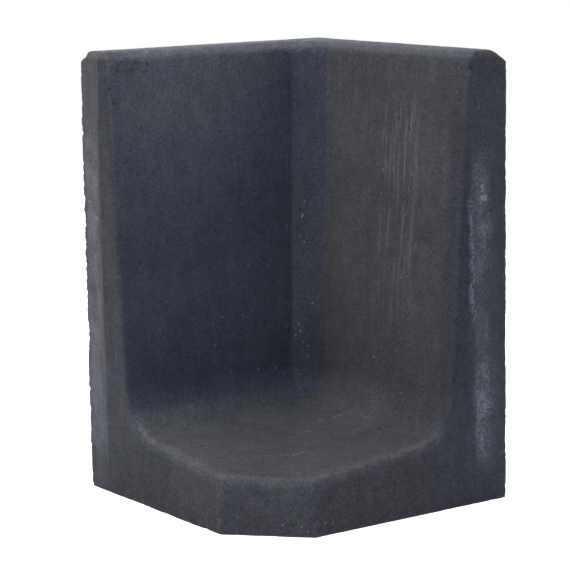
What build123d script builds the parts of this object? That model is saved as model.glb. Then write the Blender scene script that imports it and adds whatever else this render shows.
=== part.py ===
from build123d import *
import os
from math import sqrt

# Precast concrete corner L-element: two upright wings at a right angle on one square foot whose
# front corner is cut off. Everything else is cast inside it: a tied cage of reinforcing bars with
# its wires, wheel spacers and cover blocks.
#
# Frame: millimetres, +Z up, origin at the middle of the square footprint, on the underside.
# The back wing runs along X on the +Y side, and the left wing runs along Y on the -X side.
# Places are given as u and v: u is the distance in from the left outer face, v is the distance in
# from the back outer face, and z is the height above the underside.

# Casting, overall
WIDTH = 407.0
HEIGHT = 600.0
HALF = WIDTH / 2

# Wing section: the outer face is upright and the inner face leans in towards the top
WALL_TOP = 65.0
WALL_FOOT = 98.0
INNER_BEVEL_WIDE = 10.0
INNER_BEVEL_TALL = 12.0
OUTER_BEVEL_WIDE = 22.0
OUTER_BEVEL_TALL = 17.0

# Foot section: the top falls from the wings towards the free edges
FOOT_HEEL = 97.0
FOOT_TOE = 69.0
FOOT_FILLET = 64.0
FOOT_CUT = 93.0

# Inner upright corner: a flat strip closes the angle between the two wings
CORNER_STRIP_LEG = 34.0
CORNER_STRIP_SINK = 1.0

# Arrises
INNER_ARRIS = 6.0
OUTER_ARRIS = 8.0
EDGE_ARRIS = 3.0

# Joint pads: the outer part of each end face stands a little proud of the rest, and it is wider
# at its top than at its foot
PAD_PROUD = 2.0
LEFT_PAD = (42.0, 54.0)
BACK_PAD = (54.0, 70.0)
PAD_LOW = 60.0
PAD_HIGH = 510.0
PAD_BEVEL = 1.5
PAD_SINK = 4.0

# Reinforcing bars, by radius
MAIN_BAR = 4.0
TIE_BAR = 3.0
BAR_GAP = 1.5
BEND = 32.0
CORNER_BEND = 30.0
UPRIGHT_INSET = 34.0
UPRIGHT_TOP = 572.0
STATIONS = (110.0, 200.0, 290.0, 375.0)
BAR_END = WIDTH - 23.0
CUT_COVER = 30.0
LEVELS = (130.0, 230.0, 330.0, 430.0, 540.0)

# Layers of the foot, by height of the bars' centres
BACK_LEG_Z = 30.0
LEFT_LEG_Z = BACK_LEG_Z + 2 * MAIN_BAR + BAR_GAP
CORNER_LEG_Z = LEFT_LEG_Z + 2 * MAIN_BAR + BAR_GAP
EDGE_BAR_Z = LEFT_LEG_Z + MAIN_BAR + TIE_BAR + BAR_GAP
EDGE_BAR_INSET = WIDTH - 37.0
EDGE_BAR_START = 70.0
CORNER_LEG_END = 305.0

# Horizontal bars lie on the inner side of the uprights
BELT_INSET = UPRIGHT_INSET + MAIN_BAR + TIE_BAR + BAR_GAP

# Tie wire: a closed loop with a twisted tail
WIRE = 0.75
WIRE_ROOM = 0.8
TAIL_RADIUS = 1.3
TAIL_LONG = 9.0

# Plastic spacers
WHEEL_RADIUS = 32.5
WHEEL_RIM = 3.0
WHEEL_HUB = 9.0
WHEEL_THICK = 8.0
WHEEL_SPOKES = 6
SPOKE_WIDE = 3.0
WHEEL_STATIONS = (STATIONS[0], STATIONS[2])
WHEEL_HEIGHTS = (185.0, 480.0)
BLOCK_LOW = 1.5
BLOCK_HIGH = 32.0
BLOCK_BASE_RADIUS = 15.0
BLOCK_TOP_RADIUS = 9.0
BLOCK_DISTANCES = (155.0, 330.0)

MARGIN = 20.0
ROOT_2 = sqrt(2.0)


def at(u, v, z):
    """A point from its distances in from the outer faces and its height."""
    return Vector(u - HALF, HALF - v, z)


def foot_at(distance):
    """Height of the foot's top at a distance in from an outer face."""
    return FOOT_HEEL - (FOOT_HEEL - FOOT_TOE) * (distance - WALL_FOOT) / (WIDTH - WALL_FOOT)


# The casting


def room_section(wall_top, wall_foot, heel, toe, reach):
    """Section of the open room in front of a wing: bevel, leaning wall, fillet and falling foot."""
    shoulder = HEIGHT - INNER_BEVEL_TALL
    above = HEIGHT + MARGIN
    lean = INNER_BEVEL_WIDE / INNER_BEVEL_TALL
    outline = Polyline(
        (wall_top - lean * (above - shoulder), above),
        (wall_top, shoulder),
        (wall_foot, heel),
        (reach, toe),
        (reach, above),
        close=True,
    )
    section = make_face(outline)
    corner = section.vertices().sort_by_distance((wall_foot, heel, 0))[0]
    return fillet(corner, FOOT_FILLET)


def wing_room(facing):
    """The room in front of one wing, as far as the room runs."""
    reach = WIDTH + MARGIN
    section = room_section(WALL_TOP, WALL_FOOT, FOOT_HEEL, foot_at(reach), reach)
    return extrude(facing * section, amount=WIDTH + 2 * MARGIN)


def strip_room():
    """The room in front of the flat strip that closes the inner corner."""
    top = (2 * WALL_TOP + CORNER_STRIP_LEG) / ROOT_2
    low = (2 * WALL_FOOT + CORNER_STRIP_LEG) / ROOT_2
    reach = ROOT_2 * WIDTH + MARGIN
    heel = foot_at(low / ROOT_2) - CORNER_STRIP_SINK
    toe = foot_at(reach / ROOT_2) - CORNER_STRIP_SINK
    section = room_section(top, low, heel, toe, reach)
    facing = Plane(at(0, 0, 0), x_dir=(1, -1, 0), z_dir=(-1, -1, 0))
    return extrude(facing * section, amount=ROOT_2 * WIDTH, both=True)


def outer_block(facing, length):
    """A slab with one wing's outer face, its top bevel and the footprint's full depth."""
    depth = WIDTH - PAD_PROUD
    outline = Polyline(
        (0, 0),
        (depth, 0),
        (depth, HEIGHT),
        (OUTER_BEVEL_WIDE, HEIGHT),
        (0, HEIGHT - OUTER_BEVEL_TALL),
        close=True,
    )
    return extrude(facing * make_face(outline), amount=length)


def front_corner():
    """The triangular prism that the cut front corner takes away."""
    near = WIDTH - FOOT_CUT
    far = WIDTH + MARGIN
    outline = Polyline(at(near - MARGIN, far, 0), at(far, near - MARGIN, 0), at(far, far, 0), close=True)
    return extrude(Pos(0, 0, -MARGIN) * make_face(outline), amount=HEIGHT)


def joint_pad(place, outward, widths):
    """One joint pad, where place gives a point from a distance in from the outer face and a height."""
    low, high = widths
    corners = [(EDGE_ARRIS, PAD_LOW), (low, PAD_LOW), (high, PAD_HIGH), (EDGE_ARRIS, PAD_HIGH)]
    outline = make_face(Polyline([place(inward, z) for inward, z in corners], close=True))
    pad = extrude(outline, amount=PAD_SINK, dir=outward)
    return chamfer(pad.faces().sort_by(Axis((0, 0, 0), outward))[-1].edges(), PAD_BEVEL)


def joint_pads():
    """The pads of both end faces, which start at the wings' outer arrises."""
    root = WIDTH - PAD_SINK
    left = joint_pad(lambda inward, z: at(inward, root, z), (0, -1, 0), LEFT_PAD)
    back = joint_pad(lambda inward, z: at(root, inward, z), (1, 0, 0), BACK_PAD)
    return [left, back]


def inner_arrises(casting):
    """The edges where the inner faces meet the end faces and the cut face."""
    end = WIDTH - PAD_PROUD
    cut = 2 * WIDTH - FOOT_CUT
    chosen = []
    for edge in casting.edges():
        points = [edge @ 0, edge @ 0.5, edge @ 1]
        us = [p.X + HALF for p in points]
        vs = [HALF - p.Y for p in points]
        on_end = max(abs(u - end) for u in us) < 0.01 or max(abs(v - end) for v in vs) < 0.01
        on_cut = max(abs(u + v - cut) for u, v in zip(us, vs)) < 0.01
        inner = min(us[1], vs[1]) > WALL_TOP - INNER_BEVEL_WIDE / 2 - 1 and points[1].Z > FOOT_TOE - 10
        if (on_end or on_cut) and inner and points[1].Z < HEIGHT - INNER_BEVEL_TALL:
            chosen.append(edge)
    return chosen


def bare_casting():
    """The casting without the hollows that its embedded pieces fill."""
    facing_back = Plane(at(WIDTH + MARGIN, 0, 0), x_dir=(0, -1, 0), z_dir=(-1, 0, 0))
    facing_left = Plane(at(0, -MARGIN, 0), x_dir=(1, 0, 0), z_dir=(0, -1, 0))
    length = WIDTH + 2 * MARGIN
    block = outer_block(facing_back, length) & outer_block(facing_left, length)
    block -= front_corner()
    upright = block.edges().filter_by(Axis.Z)
    outer_corner = upright.sort_by_distance(at(0, 0, HEIGHT / 2))[0]
    left_end = upright.sort_by_distance(at(0, WIDTH, HEIGHT / 2))[0]
    back_end = upright.sort_by_distance(at(WIDTH, 0, HEIGHT / 2))[0]
    block = chamfer(outer_corner, OUTER_ARRIS)
    block = chamfer([left_end, back_end], EDGE_ARRIS)
    casting = block - (wing_room(facing_back) & wing_room(facing_left) & strip_room())
    casting = fillet(inner_arrises(casting), INNER_ARRIS)
    return casting + joint_pads()


# The cage


def bent_bar(points, bend, radius):
    """A round bar along straight runs, bent between them at one centre-line radius."""
    line = FilletPolyline(*points, radius=bend)
    start = Plane(origin=line @ 0, z_dir=line % 0)
    return sweep(start * Circle(radius), path=line)


def leg_end(station):
    """How far a foot leg runs before it comes near the free edge or the cut."""
    return min(BAR_END, 2 * WIDTH - FOOT_CUT - CUT_COVER * ROOT_2 - station)


def back_upright(station):
    """An upright in the back wing, with its leg in the foot's lowest layer."""
    top = at(station, UPRIGHT_INSET, UPRIGHT_TOP)
    heel = at(station, UPRIGHT_INSET, BACK_LEG_Z)
    toe = at(station, leg_end(station), BACK_LEG_Z)
    return bent_bar([top, heel, toe], BEND, MAIN_BAR)


def left_upright(station):
    """An upright in the left wing, with its leg in the foot's second layer."""
    top = at(UPRIGHT_INSET, station, UPRIGHT_TOP)
    heel = at(UPRIGHT_INSET, station, LEFT_LEG_Z)
    toe = at(leg_end(station), station, LEFT_LEG_Z)
    return bent_bar([top, heel, toe], BEND, MAIN_BAR)


def corner_place():
    """How far in from both outer faces the corner upright stands, just outside the belts' bend."""
    belt_middle = BELT_INSET + CORNER_BEND * (1 - 1 / ROOT_2)
    return belt_middle - (MAIN_BAR + TIE_BAR + BAR_GAP) / ROOT_2


def corner_upright():
    """The upright in the outer corner, with its leg along the diagonal of the foot."""
    place = corner_place()
    top = at(place, place, UPRIGHT_TOP)
    heel = at(place, place, CORNER_LEG_Z)
    toe = at(CORNER_LEG_END, CORNER_LEG_END, CORNER_LEG_Z)
    return bent_bar([top, heel, toe], BEND, MAIN_BAR)


def corner_belt(level):
    """A level bar that runs along both wings and bends round the corner between them."""
    back = at(BAR_END, BELT_INSET, level)
    corner = at(BELT_INSET, BELT_INSET, level)
    left = at(BELT_INSET, BAR_END, level)
    return bent_bar([back, corner, left], CORNER_BEND, TIE_BAR)


def foot_edge_bar():
    """The bar that follows the foot's two free edges and the cut between them."""
    turn = 2 * WIDTH - FOOT_CUT - (WIDTH - EDGE_BAR_INSET) * ROOT_2 - EDGE_BAR_INSET
    route = [
        at(EDGE_BAR_START, EDGE_BAR_INSET, EDGE_BAR_Z),
        at(turn, EDGE_BAR_INSET, EDGE_BAR_Z),
        at(EDGE_BAR_INSET, turn, EDGE_BAR_Z),
        at(EDGE_BAR_INSET, EDGE_BAR_START, EDGE_BAR_Z),
    ]
    return bent_bar(route, BEND, TIE_BAR)


# Tie wires


def tie(centre, apart, first, second, reach):
    """A loop of wire round two crossing bars, closed by a twisted tail.

    apart is the direction from one bar to the other, first and second are the bars' directions,
    and reach is half the depth of the pair of bars.
    """
    across = (first + second).normalized()
    loop = reach + WIRE_ROOM + WIRE
    place = Plane(origin=centre, x_dir=apart, z_dir=across)
    tail = place * Rot(0, 90, 0) * Pos(0, 0, loop) * Cylinder(
        TAIL_RADIUS, TAIL_LONG, align=(Align.CENTER, Align.CENTER, Align.MIN)
    )
    return place * Torus(loop, WIRE) + tail


def wing_ties(crossing, along):
    """Ties where every second upright of a wing crosses a belt, changing over at each level."""
    inward = Vector(0, -1, 0) if along.X else Vector(1, 0, 0)
    reach = MAIN_BAR + TIE_BAR + BAR_GAP / 2
    middle = UPRIGHT_INSET - MAIN_BAR + reach
    ties = []
    for row, level in enumerate(LEVELS):
        for station in STATIONS[row % 2::2]:
            ties.append(tie(crossing(station, middle, level), inward, Vector(0, 0, 1), along, reach))
    return ties


def corner_ties():
    """Ties between the corner upright and each belt, on the bend."""
    reach = MAIN_BAR + TIE_BAR + BAR_GAP / 2
    inward = Vector(1, -1, 0).normalized()
    along = Vector(1, 1, 0).normalized()
    middle = corner_place() + (reach - MAIN_BAR) / ROOT_2
    return [tie(at(middle, middle, z), inward, Vector(0, 0, 1), along, reach) for z in LEVELS]


def foot_ties():
    """Ties where the legs of the two wings cross in the foot, on every second crossing."""
    reach = 2 * MAIN_BAR + BAR_GAP / 2
    middle = BACK_LEG_Z - MAIN_BAR + reach
    ties = []
    for i, u in enumerate(STATIONS):
        for j, v in enumerate(STATIONS):
            if (i + j) % 2 and u + v < leg_end(STATIONS[-1]) + STATIONS[-1] - 2 * BEND:
                crossing = at(u, v, middle)
                ties.append(tie(crossing, Vector(0, 0, -1), Vector(1, 0, 0), Vector(0, 1, 0), reach))
    return ties


# Spacers


def wheel(u, v, level):
    """A spoked plastic wheel pressed on an upright: it keeps the bar off the outer face."""
    rim = Cylinder(WHEEL_RADIUS, WHEEL_THICK) - Cylinder(WHEEL_RADIUS - WHEEL_RIM, WHEEL_THICK)
    disc = rim + Cylinder(WHEEL_HUB, WHEEL_THICK)
    spoke_long = WHEEL_RADIUS - WHEEL_RIM / 2
    spoke = Box(spoke_long, SPOKE_WIDE, WHEEL_THICK, align=(Align.MIN, Align.CENTER, Align.CENTER))
    disc += [Rot(0, 0, 360 * n / WHEEL_SPOKES) * spoke for n in range(WHEEL_SPOKES)]
    return Pos(at(u, v, level)) * (disc - Cylinder(MAIN_BAR, WHEEL_THICK))


def cover_block(u, v):
    """A plastic stool with a saddle, which keeps a leg of the back wing off the underside."""
    tall = BLOCK_HIGH - BLOCK_LOW
    stool = Cone(BLOCK_BASE_RADIUS, BLOCK_TOP_RADIUS, tall, align=(Align.CENTER, Align.CENTER, Align.MIN))
    across = 4 * BLOCK_BASE_RADIUS
    seat = Pos(0, 0, BACK_LEG_Z - BLOCK_LOW)
    saddle = seat * Rot(90, 0, 0) * Cylinder(MAIN_BAR, across)
    mouth = seat * Box(2 * MAIN_BAR, across, tall, align=(Align.CENTER, Align.CENTER, Align.MIN))
    return Pos(at(u, v, BLOCK_LOW)) * (stool - saddle - mouth)


# The assembly


def embedded_pieces():
    """Every piece inside the casting, by name: each is a list of solids."""
    pieces = {}
    for number, station in enumerate(STATIONS, start=1):
        pieces[f"back_wing_bar_{number}"] = [back_upright(station)]
        pieces[f"left_wing_bar_{number}"] = [left_upright(station)]
    pieces["corner_bar"] = [corner_upright()]
    for number, level in enumerate(LEVELS, start=1):
        pieces[f"corner_belt_{number}"] = [corner_belt(level)]
    pieces["foot_edge_bar"] = [foot_edge_bar()]
    pieces["back_wing_ties"] = wing_ties(lambda s, d, z: at(s, d, z), Vector(1, 0, 0))
    pieces["left_wing_ties"] = wing_ties(lambda s, d, z: at(d, s, z), Vector(0, 1, 0))
    pieces["corner_ties"] = corner_ties()
    pieces["foot_ties"] = foot_ties()
    spots = [(station, height) for station in WHEEL_STATIONS for height in WHEEL_HEIGHTS]
    pieces["back_wing_spacers"] = [wheel(s, UPRIGHT_INSET, z) for s, z in spots]
    pieces["left_wing_spacers"] = [wheel(UPRIGHT_INSET, s, z) for s, z in spots]
    pieces["foot_cover_blocks"] = [cover_block(u, v) for u in WHEEL_STATIONS for v in BLOCK_DISTANCES]
    return pieces


def write(name, solids):
    """Write one node's solids to its own file."""
    export_step(Compound(children=solids), os.path.join("parts", name + ".step"))


def main():
    os.makedirs("parts", exist_ok=True)
    pieces = embedded_pieces()
    for name, shapes in pieces.items():
        write(name, [solid for shape in shapes for solid in shape.solids()])
    casting = bare_casting() - [shape for shapes in pieces.values() for shape in shapes]
    write("concrete_casting", casting.solids())


main()
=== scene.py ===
"""A precast concrete corner L-element in dark concrete, standing on a pale studio floor.

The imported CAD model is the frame: its casting gives the true shape, and here it is worked up with
worn arrises, chips, blow holes and a cast skin. Lengths are in metres, +Z is up, and the back wing
runs along X at the +Y side. A place on the element is given as u, v and z: u in from the left
wing's outer face, v in from the back wing's outer face, and z up from the base.
"""
import itertools
import math
from types import SimpleNamespace

import bmesh
import bpy
import numpy as np
from mathutils import Matrix, Vector
from mathutils.kdtree import KDTree


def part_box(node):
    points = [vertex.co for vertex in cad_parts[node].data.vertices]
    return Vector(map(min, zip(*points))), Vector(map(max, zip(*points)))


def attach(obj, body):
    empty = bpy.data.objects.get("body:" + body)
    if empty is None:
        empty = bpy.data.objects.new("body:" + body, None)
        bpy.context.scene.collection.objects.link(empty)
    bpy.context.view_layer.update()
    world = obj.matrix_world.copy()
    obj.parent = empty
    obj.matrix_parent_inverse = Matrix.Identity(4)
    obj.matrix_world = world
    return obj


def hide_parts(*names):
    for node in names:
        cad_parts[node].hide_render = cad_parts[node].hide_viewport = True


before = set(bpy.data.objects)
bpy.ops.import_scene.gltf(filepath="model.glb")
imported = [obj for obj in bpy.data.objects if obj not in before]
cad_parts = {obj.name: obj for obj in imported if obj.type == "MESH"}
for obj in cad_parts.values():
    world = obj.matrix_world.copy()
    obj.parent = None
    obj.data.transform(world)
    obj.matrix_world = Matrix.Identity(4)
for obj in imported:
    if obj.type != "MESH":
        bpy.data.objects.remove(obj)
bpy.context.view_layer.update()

LOW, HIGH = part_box("concrete_casting")
WIDTH = HIGH.x - LOW.x
HEIGHT = HIGH.z - LOW.z
MM = 0.001
SEED = 20

# Camera
AZIMUTH = math.radians(54.7)
ELEVATION = math.radians(9.75)
ROLL = math.radians(-0.85)
AIM = Vector((-0.006, -0.009, 0.285))
DISTANCE = 3.045
LENS_MM = 143.4
SENSOR_MM = 36.0

# Soft boxes: name, place, side, power in watts and colour
SOFT_BOXES = (
    ("key_left", (-0.2, -2.8, 2.0), 1.6, 40, (1.0, 0.9, 0.85)),
    ("overhead", (0.0, -0.3, 3.2), 2.0, 55, (0.7, 0.8, 1.0)),
    ("overhead_front", (1.6, -1.2, 3.0), 1.4, 15, (0.3, 0.6, 1.0)),
    ("behind_right", (1.2, 2.2, 2.4), 1.6, 25, (1.0, 0.8, 0.7)),
    ("behind_left", (-2.2, 1.2, 2.4), 1.6, 70, (0.6, 0.8, 1.0)),
    ("right", (3.0, 0.8, 2.2), 1.4, 10, (0.5, 0.6, 1.0)),
)
AMBIENT = 0.03
FLOOR_GLOW = 0.97
FLOOR_SIZE = 60
FLOOR_GAP = 0.0005

# Mesh
VOXEL = 2.0 * MM
MOST_TRIANGLES = 196000
WELD = 0.001 * MM

# Wear: rounds of easing, the wear at which an edge counts as fully worn, and how wide outer edges are
WEAR_ROUNDS = 14
FOOT_WEAR_ROUNDS = 110
FULL_ARRIS = 1.1 * MM
FULL_LIP = 1.5 * MM
OUTER_EDGE = 14 * MM
OUTER_PUSH = 2.6
HOLLOW_WEAR = 0.15
WAVES = 0.22 * MM
ROUGHNESS = 0.08 * MM
BASE_FADE = 4 * MM

# The foot's worn lip: its lowest and highest reach, and where it starts clear of the wings
LIP_LOW = 40 * MM
LIP_HIGH = 125 * MM
LIP_START = 150 * MM
LIP_INSET = 30 * MM

# Chips and blow holes
CHIPS = 600
SMALLEST_CHIP = 2.0 * MM
CHIP_SPREAD = 3.5 * MM
BLOW_HOLES = 420
SMALLEST_HOLE = 1.4 * MM
HOLE_SPREAD = 1.2 * MM
HOLE_DEPTH = 0.6

# Places on the element
END_DEPTH = 5 * MM
FOOT_TOP = 100 * MM
TOP_EDGE = 10 * MM
RUBBED_LEFT = (8 * MM, 44 * MM)
RUBBED_LOW = 30 * MM
RUBBED_HIGH = 500 * MM
WALL_FOOT = 98 * MM
WALL_LEAN = 0.055
STRIP_LEG = 34 * MM

# Scales of the concrete's noises, in cells to the metre
CLOUDS = 7
PATCHES = 38
MOTTLE = 45
BRUSHED = 60
SPOTS = 260
TROWEL = 250
SAND = 330
GRIT = 900

# Concrete colours, and tints that multiply them: the tints are painted light and shade on single faces and
# on faces turned up
DARK_SKIN = (0.069, 0.070, 0.074, 1)
PALE_SKIN = (0.083, 0.083, 0.086, 1)
LEFT_RUB = (0.20, 0.197, 0.202, 1)
RIGHT_RUB = (0.26, 0.265, 0.29, 1)
LIME_RUN = (0.18, 0.18, 0.18, 1)
CHIPPED = (0.15, 0.148, 0.15, 1)
PORE_SHADE_AND_HAIRLINE = (0.022, 0.022, 0.025, 1)
SAND_GRAIN = (0.2, 0.2, 0.205, 1)
LIME = (0.34, 0.345, 0.365, 1)
STRIP_PAINTED_SHADE = (0.90, 0.93, 1.03, 1)
INNER_LEFT_PAINTED_SHADE = (0.98, 1.0, 1.11, 1)
FOOT_RIGHT_PAINTED_SHADE = (0.93, 0.89, 0.88, 1)
INNER_BACK_PAINTED_LIGHT = (1.09, 1.06, 1.03, 1)
NEAR_END_PAINTED_SHADE = (0.80, 0.82, 0.88, 1)
UPWARD_PAINTED_LIGHT = (1.12, 1.05, 0.92, 1)


def spot(u, v, z):
    """The point at a distance in from each outer face and up from the base, all in mm."""
    return Vector((LOW.x + u * MM, HIGH.y - v * MM, LOW.z + z * MM))


def make_camera():
    """The camera, turned about its own axis by the roll."""
    camera = bpy.data.objects.new("camera", bpy.data.cameras.new("camera"))
    bpy.context.scene.collection.objects.link(camera)
    back = Vector((math.sin(AZIMUTH) * math.cos(ELEVATION), -math.cos(AZIMUTH) * math.cos(ELEVATION),
                   math.sin(ELEVATION)))
    turn = back.to_track_quat("Z", "Y").to_matrix().to_4x4() @ Matrix.Rotation(ROLL, 4, "Z")
    camera.matrix_world = Matrix.Translation(AIM + back * DISTANCE) @ turn
    camera.data.lens = LENS_MM
    camera.data.sensor_width = SENSOR_MM
    camera.data.clip_end = 50.0
    bpy.context.scene.camera = camera


# Node helpers


def new_material(name):
    """A node material: gives the material, its node tree and its Principled shader."""
    material = bpy.data.materials.new(name)
    material.use_nodes = True
    tree = material.node_tree
    return material, tree, tree.nodes["Principled BSDF"]


def feed(tree, socket, value):
    """Sets an input to a number or colour, or links another node's output to it."""
    if isinstance(value, bpy.types.NodeSocket):
        tree.links.new(value, socket)
    else:
        socket.default_value = value


def node(tree, kind, settings=(), **inputs):
    """A node with some settings, and inputs by name."""
    made = tree.nodes.new("ShaderNode" + kind)
    for key, value in dict(settings).items():
        setattr(made, key, value)
    for key, value in inputs.items():
        feed(tree, made.inputs[key.replace("_", " ")], value)
    return made


def maths(tree, operation, a, b=0.0):
    """One step of arithmetic."""
    made = node(tree, "Math", {"operation": operation})
    feed(tree, made.inputs[0], a)
    feed(tree, made.inputs[1], b)
    return made.outputs[0]


def times(tree, *values):
    """The product of some values."""
    product = values[0]
    for value in values[1:]:
        product = maths(tree, "MULTIPLY", product, value)
    return product


def ramp(tree, value, start, end, low=0.0, high=1.0):
    """A value that goes from low to high as the input goes from start to end, with soft ends."""
    made = node(tree, "MapRange", {"interpolation_type": "SMOOTHSTEP"}, Value=value, From_Min=start,
                From_Max=end, To_Min=low, To_Max=high)
    return made.outputs["Result"]


def between(tree, value, low, high, edge):
    """1 where a value is between two limits, fading to 0 over an edge inside each."""
    return times(tree, ramp(tree, value, low, low + edge), ramp(tree, value, high - edge, high, 1.0, 0.0))


def noise(tree, place, scale, detail=3.0, roughness=0.55, stretch=None, turn=None):
    """Cloud noise from 0 to 1; stretch scales the axes, after a turn."""
    if stretch:
        mapping = node(tree, "Mapping", {"vector_type": "TEXTURE"}, Vector=place)
        mapping.inputs["Rotation"].default_value = turn or (0, 0, 0)
        mapping.inputs["Scale"].default_value = stretch
        place = mapping.outputs["Vector"]
    made = node(tree, "TexNoise", Vector=place, Scale=scale, Detail=detail, Roughness=roughness)
    return made.outputs["Fac"]


def specks(tree, place, spacing, radius, share):
    """Small round dots, 1 at their middles: about a share of the cells of a loose grid has one."""
    cells = node(tree, "TexVoronoi", Vector=place, Scale=1 / spacing)
    dot = ramp(tree, cells.outputs["Distance"], 0.3 * radius / spacing, radius / spacing, 1.0, 0.0)
    luck = node(tree, "SeparateColor", Color=cells.outputs["Color"]).outputs[0]
    return times(tree, dot, maths(tree, "GREATER_THAN", luck, 1 - share))


def mix(tree, factor, a, b, blend="MIX"):
    """A colour that goes from a to b as the factor goes from 0 to 1."""
    made = node(tree, "Mix", {"data_type": "RGBA", "blend_type": blend})
    for socket, value in zip((made.inputs[0], made.inputs[6], made.inputs[7]), (factor, a, b)):
        feed(tree, socket, value)
    return made.outputs[2]


def mix_value(tree, factor, a, b):
    """A number that goes from a to b as the factor goes from 0 to 1."""
    made = node(tree, "Mix", {"data_type": "FLOAT"})
    feed(tree, made.inputs[0], factor)
    feed(tree, made.inputs[2], a)
    feed(tree, made.inputs[3], b)
    return made.outputs[0]


def tint(tree, factor, colour, shade):
    """A colour multiplied by a shade, as far as the factor goes."""
    return mix(tree, factor, colour, shade, "MULTIPLY")


def brighten(tree, colour, factor):
    """A colour multiplied by a value."""
    grey = node(tree, "CombineColor", Red=factor, Green=factor, Blue=factor).outputs[0]
    return mix(tree, 1.0, colour, grey, "MULTIPLY")


def bump(tree, height, depth, normal=None):
    """A normal bent by a height, over another bump's normal if there is one."""
    made = node(tree, "Bump", Height=height, Distance=depth)
    made.inputs["Strength"].default_value = 1.0
    if normal:
        tree.links.new(normal, made.inputs["Normal"])
    return made.outputs["Normal"]


# Studio


def area_light(name, place, size, power, colour):
    """A square soft box that faces the middle of the object."""
    light = bpy.data.lights.new(name, "AREA")
    light.shape = "SQUARE"
    light.size = size
    light.energy = power
    light.color = colour
    lamp = bpy.data.objects.new(name, light)
    bpy.context.scene.collection.objects.link(lamp)
    lamp.location = place
    towards = Vector((0, 0, HEIGHT / 2)) - lamp.location
    lamp.rotation_euler = towards.to_track_quat("-Z", "Y").to_euler()


def make_studio():
    """Soft boxes round the object, a pale floor, and a white surround that lights it very little."""
    for soft_box in SOFT_BOXES:
        area_light(*soft_box)
    world = bpy.data.worlds.new("studio")
    bpy.context.scene.world = world
    world.use_nodes = True
    tree = world.node_tree
    sky = tree.nodes["Background"]
    sky.inputs["Color"].default_value = (1, 1, 1, 1)
    seen = node(tree, "LightPath").outputs["Is Camera Ray"]
    tree.links.new(ramp(tree, seen, 0.0, 1.0, AMBIENT, 1.0), sky.inputs["Strength"])
    bpy.ops.mesh.primitive_plane_add(size=FLOOR_SIZE, location=(0, 0, LOW.z - FLOOR_GAP))
    floor = bpy.context.object
    floor.name = "studio_floor"
    floor.data.materials.append(floor_material())
    bpy.context.scene.view_settings.view_transform = "Standard"


def floor_material():
    """A white floor whose own glow is seen but doesn't light the object."""
    material, tree, shader = new_material("studio_floor")
    shader.inputs["Base Color"].default_value = (0.93, 0.93, 0.93, 1)
    shader.inputs["Roughness"].default_value = 0.9
    shader.inputs["Emission Color"].default_value = (1, 1, 1, 1)
    seen = node(tree, "LightPath").outputs["Is Camera Ray"]
    tree.links.new(times(tree, seen, FLOOR_GLOW), shader.inputs["Emission Strength"])
    return material


# Concrete


# Patches of lime flecks: middle and half size as u, v and z, number of flecks and largest radius, in mm
FLECK_PATCHES = (
    ((405, 45, 420), (0, 6, 14), 4, 6.0),
    ((405, 50, 430), (0, 20, 60), 6, 2.4),
    ((100, 115, 250), (15, 15, 130), 18, 2.4),
    ((90, 200, 200), (10, 60, 100), 14, 2.0),
    ((260, 90, 300), (60, 5, 150), 14, 2.2),
    ((380, 330, 10), (30, 40, 8), 10, 2.0),
    ((25, 405, 390), (15, 0, 90), 12, 3.0),
)
# Scratches on the foot and hairlines on the left wing: both ends as u, v and z, and half width, in mm
SCRATCHES = (
    ((200, 160, 90), (210, 130, 95), 2.2),
    ((230, 220, 85), (225, 195, 90), 1.4),
    ((300, 280, 80), (300, 255, 80), 1.6),
)
HAIRLINES = (
    ((70, 205, 540), (85, 195, 290), 0.9),
    ((75, 215, 470), (80, 210, 380), 0.8),
)
# The largest blow holes: u, v, z and radius, in mm
LARGE_HOLES = (
    (65, 400, 550, 3.0), (405, 60, 580, 2.8), (75, 300, 470, 2.2), (0, 120, 430, 3.5),
    (0, 260, 210, 3.0), (150, 0, 500, 3.2), (290, 0, 330, 3.6), (330, 0, 120, 2.8),
)


def moved_about(tree, place, amount, scale):
    """The place, moved about a little, so that marks measured from it aren't straight or round."""
    cloud = node(tree, "TexNoise", Vector=place, Scale=scale, Detail=3.0).outputs["Color"]
    shift = node(tree, "VectorMath", {"operation": "MULTIPLY_ADD"})
    tree.links.new(cloud, shift.inputs[0])
    shift.inputs[1].default_value = (2 * amount,) * 3
    tree.links.new(place, shift.inputs[2])
    moved = node(tree, "VectorMath", {"operation": "SUBTRACT"})
    tree.links.new(shift.outputs[0], moved.inputs[0])
    moved.inputs[1].default_value = (amount,) * 3
    return moved.outputs[0]


def on_surface(piece, u, v, z):
    """The point of a piece's surface nearest to a place given in mm."""
    return piece.closest_point_on_mesh(spot(u, v, z))[1]


def fleck_mask(tree, place, piece):
    """1 on the lime flecks, with soft rims; each patch's flecks are scattered over it."""
    rng = np.random.default_rng(SEED)
    total = 0.0
    for middle, half_size, number, largest in FLECK_PATCHES:
        for _ in range(number):
            fleck = np.array(middle) + np.array(half_size) * (2 * rng.random(3) - 1)
            radius = largest * MM * (0.5 + 0.5 * rng.random())
            gap = node(tree, "VectorMath", {"operation": "DISTANCE"})
            tree.links.new(place, gap.inputs[0])
            gap.inputs[1].default_value = on_surface(piece, *fleck)
            near = ramp(tree, gap.outputs["Value"], 0.3 * radius, radius, 1.0, 0.0)
            total = maths(tree, "MAXIMUM", near, total)
    return total


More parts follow.
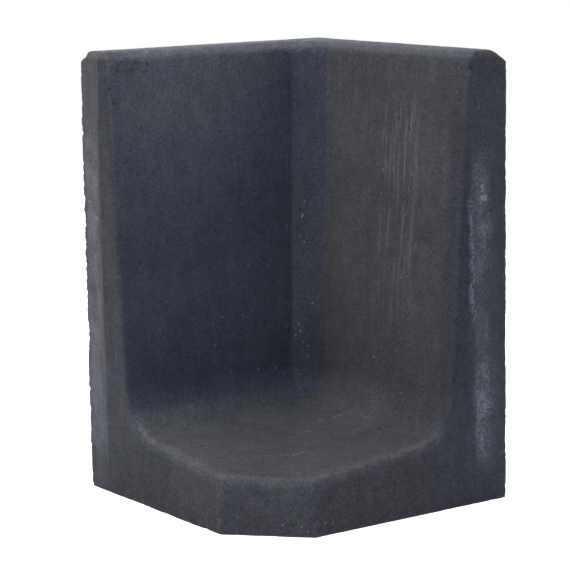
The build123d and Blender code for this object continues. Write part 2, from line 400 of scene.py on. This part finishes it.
def line_mask(tree, place, piece, lines):
    """1 along some straight lines over the surface, with soft sides."""
    total = 0.0
    for start, end, half_width in lines:
        first = on_surface(piece, *start)
        along = on_surface(piece, *end) - first
        offset = node(tree, "VectorMath", {"operation": "SUBTRACT"})
        tree.links.new(place, offset.inputs[0])
        offset.inputs[1].default_value = first
        dot = node(tree, "VectorMath", {"operation": "DOT_PRODUCT"})
        tree.links.new(offset.outputs[0], dot.inputs[0])
        dot.inputs[1].default_value = along / along.length_squared
        share = node(tree, "Clamp", Value=dot.outputs["Value"]).outputs[0]
        nearest = node(tree, "VectorMath", {"operation": "SCALE"}, Scale=share)
        nearest.inputs[0].default_value = along
        gap = node(tree, "VectorMath", {"operation": "DISTANCE"})
        tree.links.new(offset.outputs[0], gap.inputs[0])
        tree.links.new(nearest.outputs[0], gap.inputs[1])
        near = ramp(tree, gap.outputs["Value"], 0.3 * half_width * MM, half_width * MM, 1.0, 0.0)
        total = maths(tree, "MAXIMUM", near, total)
    return total


def surface_fields(tree):
    """What the concrete's layers share: places, the mesh's own values, clouds and face masks."""
    at = SimpleNamespace()
    coordinates = node(tree, "TexCoord")
    at.place = coordinates.outputs["Object"]
    x, y, at.z = node(tree, "SeparateXYZ", Vector=at.place).outputs
    nx, ny, nz = node(tree, "SeparateXYZ", Vector=coordinates.outputs["Normal"]).outputs
    at.u = maths(tree, "SUBTRACT", x, LOW.x)
    at.v = maths(tree, "SUBTRACT", HIGH.y, y)
    for name in ("arris", "pit", "chip"):
        setattr(at, name, node(tree, "Attribute", {"attribute_name": name}).outputs["Fac"])

    at.mottle = noise(tree, at.place, MOTTLE, 4, 0.6)
    at.sand = noise(tree, at.place, SAND, 3, 0.75)
    at.patches = noise(tree, at.place, PATCHES, 5, 0.65)
    at.spots = noise(tree, at.place, SPOTS, 3, 0.7)
    at.brushed = noise(tree, at.place, BRUSHED, 4, 0.6, stretch=(1, 1, 5))
    at.ragged = moved_about(tree, at.place, 2.4 * MM, 210.0)

    at.up = ramp(tree, nz, 0.5, 0.85)
    at.not_up = maths(tree, "SUBTRACT", 1.0, at.up)
    at.faces_right = ramp(tree, nx, 0.75, 0.92)
    faces_front = ramp(tree, ny, -0.92, -0.75, 1.0, 0.0)
    end_skin = (WIDTH - END_DEPTH, WIDTH - 0.6 * END_DEPTH)
    at.left_end = times(tree, faces_front, ramp(tree, at.v, *end_skin))
    at.right_end = times(tree, at.faces_right, ramp(tree, at.u, *end_skin))
    at.left_wing = ramp(tree, at.u, 0.45 * WIDTH, 0.3 * WIDTH)
    at.inner_back = times(tree, ramp(tree, ny, -0.95, -0.85, 1.0, 0.0), ramp(tree, at.v, 0.3, 0.2))
    at.foot = times(tree, ramp(tree, nz, 0.45, 0.68),
                    ramp(tree, at.z, 1.1 * FOOT_TOP, 1.5 * FOOT_TOP, 1.0, 0.0))
    uneven = maths(tree, "ADD", at.z, times(tree, at.patches, 0.5 * TOP_EDGE))
    at.top = ramp(tree, uneven, HEIGHT - TOP_EDGE, HEIGHT - 0.4 * TOP_EDGE)
    # The paler patch high on the left wing's inner face is painted light, growing away from the back
    # wing's shadow and upwards
    rising = maths(tree, "ADD", at.z, maths(tree, "MULTIPLY", at.v, 0.35))
    at.bloom = times(tree, at.faces_right, at.left_wing, ramp(tree, at.v, 0.11, 0.2, 0.35, 1.0),
                     ramp(tree, rising, 0.42, 0.74))

    along_cut = (0, 0, math.radians(45))
    sweep = moved_about(tree, at.place, 14 * MM, 7.0)
    at.trowel = noise(tree, sweep, TROWEL, 4, 0.6, stretch=(14, 1, 1), turn=along_cut)
    at.pores = maths(tree, "MAXIMUM", specks(tree, at.ragged, 10 * MM, 2.0 * MM, 0.5),
                     specks(tree, at.place, 5 * MM, 1.0 * MM, 0.45))
    at.grains = specks(tree, at.place, 4 * MM, 0.8 * MM, 0.3)
    return at


def cast_skin(tree, at):
    """The bare concrete: clouds, mottle, sand, grit and a faint upright grain."""
    cloud = noise(tree, at.place, CLOUDS, 4)
    grit = noise(tree, at.place, GRIT, 2, 0.8)
    colour = mix(tree, ramp(tree, cloud, 0.35, 0.65), DARK_SKIN, PALE_SKIN)
    colour = brighten(tree, colour, ramp(tree, at.mottle, 0.3, 0.7, 0.92, 1.08))
    colour = brighten(tree, colour, ramp(tree, at.sand, 0.3, 0.7, 0.72, 1.30))
    colour = brighten(tree, colour, ramp(tree, grit, 0.3, 0.7, 0.82, 1.18))
    grain = ramp(tree, at.brushed, 0.3, 0.7, 0.93, 1.07)
    return brighten(tree, colour, mix_value(tree, at.not_up, 1.0, grain))


def bloom_and_dust(tree, at, colour):
    """Painted light high on the left wing's inner face, a painted highlight along the top, and painted
    light on the foot growing towards its front left, with trowel marks.
    """
    # Painted light: the upper part of the left wing's inner face made paler
    colour = brighten(tree, colour, ramp(tree, at.bloom, 0.0, 1.0, 1.0, 1.5))
    # Painted highlight along the top, stronger on the left wing than on the back wing
    painted_top_light = ramp(tree, at.u, 70 * MM, 120 * MM, 1.75, 1.35)
    colour = brighten(tree, colour, mix_value(tree, at.top, 1.0, painted_top_light))
    # Painted light on the foot, paler towards its front left
    painted_foot_light = ramp(tree, maths(tree, "SUBTRACT", at.v, at.u), 0.02, 0.26, 1.0, 1.3)
    colour = brighten(tree, colour, mix_value(tree, at.foot, 1.0, painted_foot_light))
    trowel_shade = ramp(tree, at.trowel, 0.3, 0.7, 0.89, 1.13)
    return brighten(tree, colour, mix_value(tree, at.foot, 1.0, trowel_shade))


def painted_face_light(tree, at, colour):
    """Painted light and shade on single faces: cooler painted shade in the corner and on the left, darker
    painted shade on the foot's right face and near the back wing's right end, warmer painted light at the
    back and upwards.
    """
    wall = maths(tree, "SUBTRACT", WALL_FOOT, maths(tree, "MULTIPLY", at.z, WALL_LEAN))
    strip_edge = maths(tree, "ADD", wall, STRIP_LEG)
    past_strip = maths(tree, "SUBTRACT", maths(tree, "MAXIMUM", at.u, at.v), strip_edge)
    in_wall = maths(tree, "SUBTRACT", maths(tree, "MINIMUM", at.u, at.v), wall)
    # Painted shade on the strip in the inner corner, cooler and darker
    strip_shade = times(tree, ramp(tree, past_strip, -1.5 * MM, 1 * MM, 1.0, 0.0),
                  ramp(tree, in_wall, -6 * MM, -3 * MM), at.not_up)
    # Painted cool shade on the left wing's inner face above the foot, weaker where its upper part has
    # painted light
    inner_left_shade = times(tree, at.faces_right, at.left_wing,
                       ramp(tree, at.z, 0.9 * FOOT_TOP, 1.2 * FOOT_TOP),
                       ramp(tree, at.bloom, 0.0, 1.0, 1.0, 0.3))
    # Painted shade on the foot's right-hand face, darker and warmer
    foot_right_shade = times(tree, at.faces_right, ramp(tree, at.v, 0.11, 0.14),
                       ramp(tree, at.z, FOOT_TOP, 0.8 * FOOT_TOP), at.not_up)
    # Painted shade near the back wing's right end, where its inner face and rounded arris turn away from
    # the light
    near_end_shade = times(tree, between(tree, at.v, 0.060, 0.3, 9 * MM),
                     ramp(tree, at.u, WIDTH - 42 * MM, WIDTH - 20 * MM),
                     between(tree, at.z, 0.1, 0.56, 80 * MM), at.not_up)
    colour = tint(tree, strip_shade, colour, STRIP_PAINTED_SHADE)
    colour = tint(tree, inner_left_shade, colour, INNER_LEFT_PAINTED_SHADE)
    colour = tint(tree, foot_right_shade, colour, FOOT_RIGHT_PAINTED_SHADE)
    # Painted warm light on the back wing's inner face
    colour = tint(tree, at.inner_back, colour, INNER_BACK_PAINTED_LIGHT)
    colour = tint(tree, near_end_shade, colour, NEAR_END_PAINTED_SHADE)
    # Painted warm light on faces turned up and along the top
    return tint(tree, maths(tree, "MAXIMUM", at.up, at.top), colour, UPWARD_PAINTED_LIGHT)


def left_rub_mask(tree, at):
    """The rubbed band on the left wing's joint face: whiter in its upper half, fading at the base."""
    inner_side = RUBBED_LEFT[1]
    band = times(tree, at.left_end, ramp(tree, at.u, inner_side, inner_side + 5 * MM, 1.0, 0.0),
                 ramp(tree, at.z, 40 * MM, 80 * MM, 0.25, 1.0))
    whiter = times(tree, between(tree, at.u, *RUBBED_LEFT, 9 * MM), ramp(tree, at.z, 0.53, 0.47),
                   ramp(tree, at.z, 0.1, 0.3, 0.6, 1.0), ramp(tree, at.patches, 0.35, 0.58))
    worn = ramp(tree, at.z, 0.50, 0.43, 0.65, 1.0)
    return times(tree, band, ramp(tree, at.brushed, 0.25, 0.6, 0.45, 1.0),
                 ramp(tree, at.spots, 0.38, 0.62, 0.7, 1.15),
                 maths(tree, "ADD", times(tree, whiter, 1.1), worn))


def right_rub_mask(tree, at):
    """The wandering, speckled band on the back wing's joint face, with a limed rim in the middle."""
    sway = maths(tree, "MULTIPLY", maths(tree, "SUBTRACT", at.patches, 0.5), 0.025)
    wander = maths(tree, "ADD", at.v, sway)
    wander = maths(tree, "SUBTRACT", wander, maths(tree, "MULTIPLY", at.z, 0.02))
    band = times(tree, at.right_end, ramp(tree, wander, 58 * MM, 47 * MM),
                 ramp(tree, wander, 6 * MM, 44 * MM),
                 between(tree, at.z, RUBBED_LOW, RUBBED_HIGH, 70 * MM))
    fading = maths(tree, "MAXIMUM", ramp(tree, at.z, 0.22, 0.16),
                   ramp(tree, at.z, 0.27, 0.36, 0.45, 0.72))
    rub = times(tree, band, ramp(tree, at.patches, 0.3, 0.66, 0.3, 1.0),
                ramp(tree, at.brushed, 0.3, 0.6, 0.5, 1.0),
                ramp(tree, at.spots, 0.4, 0.6, 0.3, 1.15), fading)
    rim = times(tree, at.right_end, between(tree, wander, 48 * MM, 60 * MM, 6 * MM),
                between(tree, at.z, 0.22, 0.43, 50 * MM), ramp(tree, at.spots, 0.36, 0.56), 0.7)
    return maths(tree, "MAXIMUM", rub, rim)


def lime_runs(tree, at, colour):
    """Thin broken lime runs down the middle of the back wing's inner face."""
    drips = moved_about(tree, at.place, 5 * MM, 14.0)
    runs = noise(tree, drips, 120, 2, 0.5, stretch=(0.4, 40, 14))
    broken = noise(tree, at.place, 40, 3, 0.6, stretch=(0.3, 1, 3))
    zone = times(tree, at.inner_back, between(tree, at.u, 0.225, 0.315, 14 * MM),
                 ramp(tree, at.z, 0.2, 0.4, 0.25, 1.0), between(tree, at.z, 0.2, 0.56, 60 * MM),
                 ramp(tree, broken, 0.4, 0.56, 0.1, 1.0))
    return mix(tree, times(tree, zone, ramp(tree, runs, 0.5, 0.64, 0.0, 0.8)), colour, LIME_RUN)


def small_marks(tree, at, colour, piece):
    """Paler arrises, partly worn and partly a painted highlight, paler chips, pores and blow holes
    darkened with painted shade, dark hairlines, sand grains, lime flecks and scratches.
    """
    # The paler edges are partly wear and partly a painted highlight, most of it along the foot's rounded
    # lip
    worn = times(tree, at.arris, ramp(tree, at.mottle, 0.3, 0.7, 0.75, 1.0))
    colour = brighten(tree, colour, ramp(tree, worn, 0.0, 1.0, 1.0, 1.3))
    colour = mix(tree, times(tree, at.chip, 0.45), colour, CHIPPED)

    # Painted shade in the pores and blow holes, darkest at their middles; the dark hairlines take the same
    # colour
    dark = maths(tree, "MAXIMUM", times(tree, at.pores, 0.5), times(tree, at.pit, 0.5))
    hairlines = times(tree, line_mask(tree, at.ragged, piece, HAIRLINES), 0.35)
    colour = mix(tree, maths(tree, "MAXIMUM", dark, hairlines), colour, PORE_SHADE_AND_HAIRLINE)
    colour = mix(tree, times(tree, at.grains, 0.45), colour, SAND_GRAIN)

    scratches = times(tree, line_mask(tree, at.ragged, piece, SCRATCHES),
                      ramp(tree, at.mottle, 0.38, 0.6, 0.15, 0.9))
    flecks = maths(tree, "MAXIMUM", fleck_mask(tree, at.ragged, piece), scratches)
    flecks = times(tree, flecks, ramp(tree, at.sand, 0.3, 0.6, 0.5, 1.0))
    scattered = times(tree, specks(tree, at.ragged, 20 * MM, 1.8 * MM, 0.28), 0.5)
    lime = maths(tree, "MAXIMUM", flecks, scattered)
    return mix(tree, times(tree, lime, 0.8), colour, LIME)


def relief(tree, at):
    """The fine relief under the colour: mottle, sand, trowel marks, grains and pores."""
    normal = bump(tree, at.mottle, 0.5 * MM)
    normal = bump(tree, at.sand, 0.45 * MM, normal)
    normal = bump(tree, times(tree, at.trowel, at.foot), 0.4 * MM, normal)
    grains_and_pores = maths(tree, "SUBTRACT", times(tree, at.grains, 0.4), at.pores)
    return bump(tree, grains_and_pores, 0.6 * MM, normal)


def concrete_material(piece):
    """Dark anthracite cast concrete: mottled, grainy, rubbed and limed, with painted light and shade on
    single faces and paler, warmer painted light where it faces up.
    """
    material, tree, shader = new_material("anthracite_concrete")
    at = surface_fields(tree)
    colour = cast_skin(tree, at)
    colour = bloom_and_dust(tree, at, colour)
    colour = painted_face_light(tree, at, colour)
    left_rub = left_rub_mask(tree, at)
    right_rub = right_rub_mask(tree, at)
    colour = mix(tree, times(tree, left_rub, 0.55), colour, LEFT_RUB)
    colour = mix(tree, right_rub, colour, RIGHT_RUB)
    colour = lime_runs(tree, at, colour)
    tree.links.new(small_marks(tree, at, colour, piece), shader.inputs["Base Color"])

    rubbed = maths(tree, "MAXIMUM", left_rub, right_rub)
    tree.links.new(ramp(tree, rubbed, 0.0, 1.0, 0.9, 0.72), shader.inputs["Roughness"])
    shader.inputs["Specular IOR Level"].default_value = 0.25
    tree.links.new(relief(tree, at), shader.inputs["Normal"])
    return material


def outer_shell(source):
    """A mesh of the casting's outside alone, without the hollows round the cage."""
    bm = bmesh.new()
    bm.from_mesh(source)
    bmesh.ops.remove_doubles(bm, verts=bm.verts, dist=WELD)
    seen = set()
    shells = []
    for start in bm.verts:
        if start in seen:
            continue
        seen.add(start)
        stack = [start]
        shell = []
        while stack:
            vert = stack.pop()
            shell.append(vert)
            for edge in vert.link_edges:
                other = edge.other_vert(vert)
                if other not in seen:
                    seen.add(other)
                    stack.append(other)
        shells.append(shell)

    def reach(shell):
        xs = [vert.co.x for vert in shell]
        zs = [vert.co.z for vert in shell]
        return max(xs) - min(xs) + max(zs) - min(zs)

    outside = set(max(shells, key=reach))
    bmesh.ops.delete(bm, geom=[vert for vert in bm.verts if vert not in outside], context="VERTS")
    mesh = bpy.data.meshes.new("concrete_body")
    bm.to_mesh(mesh)
    bm.free()
    return mesh


def applied(piece, kind, **settings):
    """Runs one modifier on a piece and keeps its result as the mesh."""
    modifier = piece.modifiers.new(kind.lower(), kind)
    for key, value in settings.items():
        setattr(modifier, key, value)
    result = bpy.data.meshes.new_from_object(piece.evaluated_get(bpy.context.evaluated_depsgraph_get()))
    piece.modifiers.clear()
    piece.data = result


def lumps(points, size, seed, octaves=1):
    """Smooth noise from about -1 to 1 over space, with lumps of about a size."""
    total = np.zeros(len(points))
    for octave in range(octaves):
        cell = points * 2 ** octave / size
        base = np.floor(cell).astype(np.int64)
        part = cell - base
        part = part * part * (3 - 2 * part)
        for corner in itertools.product((0, 1), repeat=3):
            ix, iy, iz = (base + corner).T
            mixed = (ix * 73856093) ^ (iy * 19349663) ^ (iz * 83492791) ^ ((seed + octave) * 50331653)
            mixed = ((mixed ^ (mixed >> 13)) * 1274126177) & 0xFFFFFFFF
            height = ((mixed ^ (mixed >> 16)) & 0xFFFF) / 32767.5 - 1
            weight = np.prod(np.where(corner, part, 1 - part), axis=1)
            total += weight * height / 2 ** octave
    return total


def eased(points, edges, rounds):
    """The points after some rounds of going halfway to the mean of their neighbours."""
    links = np.bincount(edges.ravel(), minlength=len(points))[:, None]
    for _ in range(rounds):
        total = np.empty_like(points)
        for axis in range(3):
            total[:, axis] = (np.bincount(edges[:, 0], points[edges[:, 1], axis], len(points))
                              + np.bincount(edges[:, 1], points[edges[:, 0], axis], len(points)))
        points = points + (total / links - points) * 0.5
    return points


def mesh_arrays(mesh):
    """The mesh's points, normals and edges as arrays."""
    points = np.empty(len(mesh.vertices) * 3)
    mesh.vertices.foreach_get("co", points)
    normals = np.empty(len(mesh.vertices) * 3)
    mesh.vertex_normals.foreach_get("vector", normals)
    edges = np.empty(len(mesh.edges) * 2, dtype=np.int32)
    mesh.edges.foreach_get("vertices", edges)
    return points.reshape(-1, 3), normals.reshape(-1, 3), edges.reshape(-1, 2)


def tree_of(points, chosen):
    """A search tree of the chosen points, by their numbers."""
    tree = KDTree(len(chosen))
    for index in chosen:
        tree.insert(points[index], int(index))
    tree.balance()
    return tree


def dents(count, every, places, radii, depths):
    """How far each point is pushed in by round dents, and how deep in a dent it lies, from 0 to 1."""
    push = np.zeros(count)
    inside = np.zeros(count)
    for place, radius, depth in zip(places, radii, depths):
        for _, index, gap in every.find_range(place, radius):
            bowl = math.sqrt(max(0.0, 1 - (gap / radius) ** 2))
            push[index] = max(push[index], depth * bowl)
            inside[index] = max(inside[index], bowl)
    return push, inside


def on_the(candidates, count, rng):
    """Some random places, each moved to the nearest of the candidate points."""
    low = np.array(LOW)
    high = np.array(HIGH)
    return [candidates.find(low + (high - low) * rng.random(3))[0] for _ in range(count)]


def store(mesh, name, values):
    """Keeps a value for each point of a mesh, for its material to read."""
    attribute = mesh.attributes.new(name, "FLOAT", "POINT")
    attribute.data.foreach_set("value", values)


def arris_wear(points, normals, edges, outer):
    """How wear moves each point, and how convex and how hollow the mesh is there, from 0 to 1."""
    pull = eased(points, edges, WEAR_ROUNDS) - points
    convex = -np.einsum("ij,ij->i", pull, normals)
    arris = np.clip(convex / FULL_ARRIS, 0, 1)
    hollow = np.clip(-convex / FULL_ARRIS, 0, 1)
    patchy = np.clip(0.75 + 0.45 * lumps(points, 40 * MM, 1, 2), 0.3, 1)
    wear = np.where(convex > 0, patchy * (1 - OUTER_PUSH * outer), HOLLOW_WEAR)[:, None] * pull
    return wear, arris, hollow


def lip_wear(points, normals, edges, u, v, z):
    """The broad wear on the foot's free edges: its pull, where it counts, and how convex it is."""
    pull = eased(points, edges, FOOT_WEAR_ROUNDS) - points
    convex = -np.einsum("ij,ij->i", pull, normals)
    lip = (np.clip((z - LIP_LOW) / (12 * MM), 0, 1) * np.clip((LIP_HIGH - z) / (20 * MM), 0, 1)
           * (convex > 0) * np.clip((np.maximum(u, v) - LIP_START) / (50 * MM), 0, 1)
           * np.clip((np.minimum(u, v) - LIP_INSET) / LIP_INSET, 0, 1))
    return pull, lip, convex


def cut_chips(points, every, sharp, rng):
    """Chips knocked out of the sharp edges."""
    radii = SMALLEST_CHIP + CHIP_SPREAD * rng.random(CHIPS) ** 3
    places = on_the(sharp, CHIPS, rng)
    return dents(len(points), every, places, radii, radii * (0.2 + 0.25 * rng.random(CHIPS)))


def cut_blow_holes(points, every, flat, rng):
    """Blow holes in the flat faces: many small ones anywhere, and the large ones in their places."""
    places = on_the(flat, BLOW_HOLES, rng) + [every.find(spot(*large[:3]))[0] for large in LARGE_HOLES]
    small = SMALLEST_HOLE + HOLE_SPREAD * rng.random(BLOW_HOLES) ** 3
    radii = np.append(small, [large[3] * MM for large in LARGE_HOLES])
    return dents(len(points), every, places, radii, HOLE_DEPTH * radii)


def weather(mesh):
    """Wears the arrises, roughens the faces, cuts chips and blow holes, and keeps them as values.

    The outer edges are pushed out a little instead of worn, and keep_inside brings them back to the
    casting's box.
    """
    rng = np.random.default_rng(SEED)
    points, normals, edges = mesh_arrays(mesh)
    u = points[:, 0] - LOW.x
    v = HIGH.y - points[:, 1]
    z = points[:, 2] - LOW.z
    above = np.clip(z / BASE_FADE, 0, 1)
    inset = np.minimum(np.minimum(u, v), z)
    at_top = z > HEIGHT - 2 * OUTER_EDGE
    outer = np.clip(1.3 - inset / OUTER_EDGE, 0, 1) * np.where(at_top, 0.5, 1.0)

    wear, arris, hollow = arris_wear(points, normals, edges, outer)
    lip_pull, lip, lip_convex = lip_wear(points, normals, edges, u, v, z)
    wear = wear * (1 - lip[:, None]) + lip_pull * lip[:, None]
    depth = (WAVES * (1 + lumps(points, 70 * MM, 2, 2))
             + ROUGHNESS * (1 + lumps(points, 7 * MM, 3, 2)))
    rough_edge = np.where((outer > 0) | at_top, 1.0, 0.2) * (1 - lip)
    ragged = arris * rough_edge * np.clip(lumps(points, 8 * MM, 4, 3), 0, 1) * 1.5 * MM

    every = tree_of(points, range(len(points)))
    sharp = tree_of(points, np.flatnonzero((arris > 0.5) & (rough_edge > 0.5) & (z > OUTER_EDGE)))
    flat = tree_of(points, np.flatnonzero((arris < 0.1) & (hollow < 0.1)))
    chip_push, chip = cut_chips(points, every, sharp, rng)
    hole_push, hole = cut_blow_holes(points, every, flat, rng)

    broken = 1 + 0.4 * lumps(points, 4 * MM, 5)
    inward = depth * above + ragged + chip_push * broken + hole_push
    points = points + wear - normals * inward[:, None]
    mesh.vertices.foreach_set("co", points.ravel())
    # The arris value paints edges paler: wear with a painted highlight on the outer arrises, and a painted
    # highlight along the foot's rounded lip
    pale = arris * np.where(inset < OUTER_EDGE, 1.0, 0.15)
    store(mesh, "arris", np.maximum(pale, lip * np.clip(lip_convex / FULL_LIP, 0, 1)))
    store(mesh, "chip", chip)
    store(mesh, "pit", hole)
    mesh.update()


def keep_inside(mesh):
    """Brings any point outside the casting's box back to its side."""
    points = mesh_arrays(mesh)[0]
    mesh.vertices.foreach_set("co", np.clip(points, np.array(LOW), np.array(HIGH)).ravel())
    mesh.update()


def make_concrete():
    """The casting's outside, remeshed, weathered and thinned to the triangles allowed."""
    piece = bpy.data.objects.new("concrete_body", outer_shell(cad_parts["concrete_casting"].data))
    bpy.context.scene.collection.objects.link(piece)
    applied(piece, "REMESH", mode="VOXEL", voxel_size=VOXEL, use_smooth_shade=True)
    weather(piece.data)
    triangles = 2 * len(piece.data.polygons)
    applied(piece, "DECIMATE", ratio=min(1.0, MOST_TRIANGLES / triangles), use_collapse_triangulate=True)
    keep_inside(piece.data)
    piece.data.shade_smooth()
    piece.data.materials.clear()
    piece.data.materials.append(concrete_material(piece))
    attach(piece, "root")
    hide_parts("concrete_casting")


# Steel and spacers inside the casting


def steel_material():
    """Hot-rolled bar: blue-grey mill scale broken by rust, with rolled ribs."""
    material, tree, shader = new_material("reinforcing_bar")
    place = node(tree, "TexCoord").outputs["Object"]
    rust = ramp(tree, noise(tree, place, 90, 5, 0.7), 0.42, 0.6)
    tone = noise(tree, place, 600, 3, 0.7)
    scale = mix(tree, tone, (0.07, 0.075, 0.085, 1), (0.14, 0.14, 0.15, 1))
    brown = mix(tree, tone, (0.13, 0.045, 0.02, 1), (0.30, 0.12, 0.045, 1))
    tree.links.new(mix(tree, rust, scale, brown), shader.inputs["Base Color"])
    tree.links.new(ramp(tree, rust, 0, 1, 0.8, 0.1), shader.inputs["Metallic"])
    tree.links.new(ramp(tree, rust, 0, 1, 0.45, 0.85), shader.inputs["Roughness"])
    ribs = node(tree, "TexWave", {"bands_direction": "DIAGONAL"}, Vector=place, Scale=55.0, Distortion=0.3)
    normal = bump(tree, ribs.outputs["Fac"], 0.6 * MM)
    tree.links.new(bump(tree, tone, 0.15 * MM, normal), shader.inputs["Normal"])
    return material


def wire_material():
    """Soft annealed tie wire: dark grey with a little rust."""
    material, tree, shader = new_material("tie_wire")
    place = node(tree, "TexCoord").outputs["Object"]
    rust = ramp(tree, noise(tree, place, 220, 4, 0.7), 0.5, 0.7)
    colour = mix(tree, rust, (0.09, 0.09, 0.095, 1), (0.2, 0.09, 0.04, 1))
    tree.links.new(colour, shader.inputs["Base Color"])
    tree.links.new(ramp(tree, rust, 0, 1, 0.85, 0.2), shader.inputs["Metallic"])
    tree.links.new(ramp(tree, rust, 0, 1, 0.42, 0.8), shader.inputs["Roughness"])
    tree.links.new(bump(tree, noise(tree, place, 1500, 2), 0.05 * MM), shader.inputs["Normal"])
    return material


def spacer_material():
    """Moulded grey plastic with a fine skin and cement dust."""
    material, tree, shader = new_material("spacer_plastic")
    place = node(tree, "TexCoord").outputs["Object"]
    dust = ramp(tree, noise(tree, place, 140, 5, 0.7), 0.4, 0.7)
    colour = mix(tree, dust, (0.16, 0.165, 0.17, 1), (0.34, 0.335, 0.325, 1))
    tree.links.new(colour, shader.inputs["Base Color"])
    tree.links.new(ramp(tree, dust, 0, 1, 0.42, 0.8), shader.inputs["Roughness"])
    tree.links.new(bump(tree, noise(tree, place, 900, 3), 0.08 * MM), shader.inputs["Normal"])
    return material


def finish_cage():
    """Gives every bar, tie and spacer its material; their CAD shapes stay."""
    steel = steel_material()
    wire = wire_material()
    plastic = spacer_material()
    for name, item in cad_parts.items():
        if name == "concrete_casting":
            continue
        if name.endswith("_ties"):
            material = wire
        elif name.endswith(("_spacers", "_blocks")):
            material = plastic
        else:
            material = steel
        for slot in item.material_slots:
            slot.link = "OBJECT"
            slot.material = material


make_camera()
make_studio()
make_concrete()
finish_cage()
